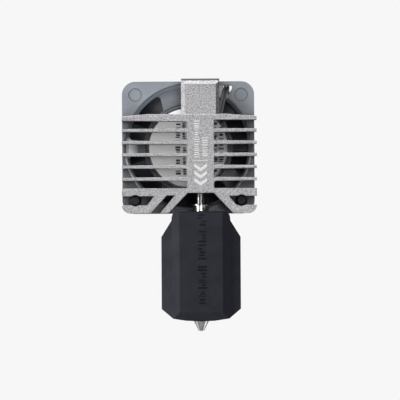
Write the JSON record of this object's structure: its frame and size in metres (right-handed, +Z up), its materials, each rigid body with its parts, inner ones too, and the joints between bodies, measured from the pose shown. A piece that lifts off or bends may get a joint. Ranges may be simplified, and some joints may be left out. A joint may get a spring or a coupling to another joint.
{
  "type": "hot end for a filament 3d printer",
  "caption": "Cast finned heat sink with a tower on top, a square axial fan behind it, and a heated nozzle block in a dark silicone sock below.",
  "frame": {"origin": "centre of the filament inlet's mouth, on the top face of the tower", "axes": "+Z up along the filament's path, -Y out of the open finned side, +Y towards the fan"},
  "size_m": [0.0253, 0.0187, 0.0475],
  "materials": {
    "cast_metal": "sandblasted, dark grey",
    "guide_plastic": "smooth",
    "break_steel": "polished",
    "block_metal": "machined",
    "nozzle_steel": "turned",
    "ceramic": "fired ceramic",
    "terminal_metal": "tinned",
    "sensor_steel": "drawn",
    "spring_steel": "rolled",
    "silicone": "matte silicone",
    "frame_plastic": "fine moulded grain",
    "impeller_plastic": "satin",
    "yoke_steel": "drawn",
    "magnet": "bonded ferrite",
    "shaft_steel": "ground",
    "bearing_bronze": "sintered",
    "pad_plastic": "smooth",
    "core_steel": "stamped stack",
    "insulator_plastic": "moulded",
    "copper": "enamelled wire",
    "board": "solder mask",
    "component_body": "moulded",
    "solder": "bright",
    "label": "printed film",
    "screw_steel": "dark zinc",
    "wire_grey": "flexible vinyl",
    "plug_plastic": "moulded nylon",
    "contact_metal": "tinned"
  },
  "bodies": {
    "hotend": {"heatsink": "cast_metal", "filament_guide": "guide_plastic", "heat_break": "break_steel", "heater_block": "block_metal", "nozzle": "nozzle_steel", "ceramic_heater": "ceramic", "heater_terminals": "terminal_metal", "temperature_sensor": "sensor_steel", "heater_clip": "spring_steel", "fan_frame": "frame_plastic", "bearing_sleeve": "bearing_bronze", "thrust_pad": "pad_plastic", "stator_core": "core_steel", "stator_insulators": "insulator_plastic", "stator_coils": "copper", "circuit_board": "board", "board_parts": "component_body", "solder_joints": "solder", "fan_label": "label", "fan_screws": "screw_steel", "fan_wire_left": "wire_grey", "fan_wire_right": "wire_grey", "lead_plug": "plug_plastic", "plug_contacts": "contact_metal"},
    "rotor": {"impeller": "impeller_plastic", "rotor_yoke": "yoke_steel", "rotor_magnet": "magnet", "rotor_shaft": "shaft_steel"},
    "sock": {"silicone_sock": "silicone"}
  },
  "joints": [
    {"name": "fan_spin", "type": "hinge", "parent": "hotend", "child": "rotor", "pos_m": [-0.0023, 0.0077, -0.0129], "axis": [0, 1, 0], "continuous": true},
    {"name": "sock_pull", "type": "slide", "parent": "hotend", "child": "sock", "axis": [0, 0, -1], "range_m": [0, 0.024]}
  ]
}
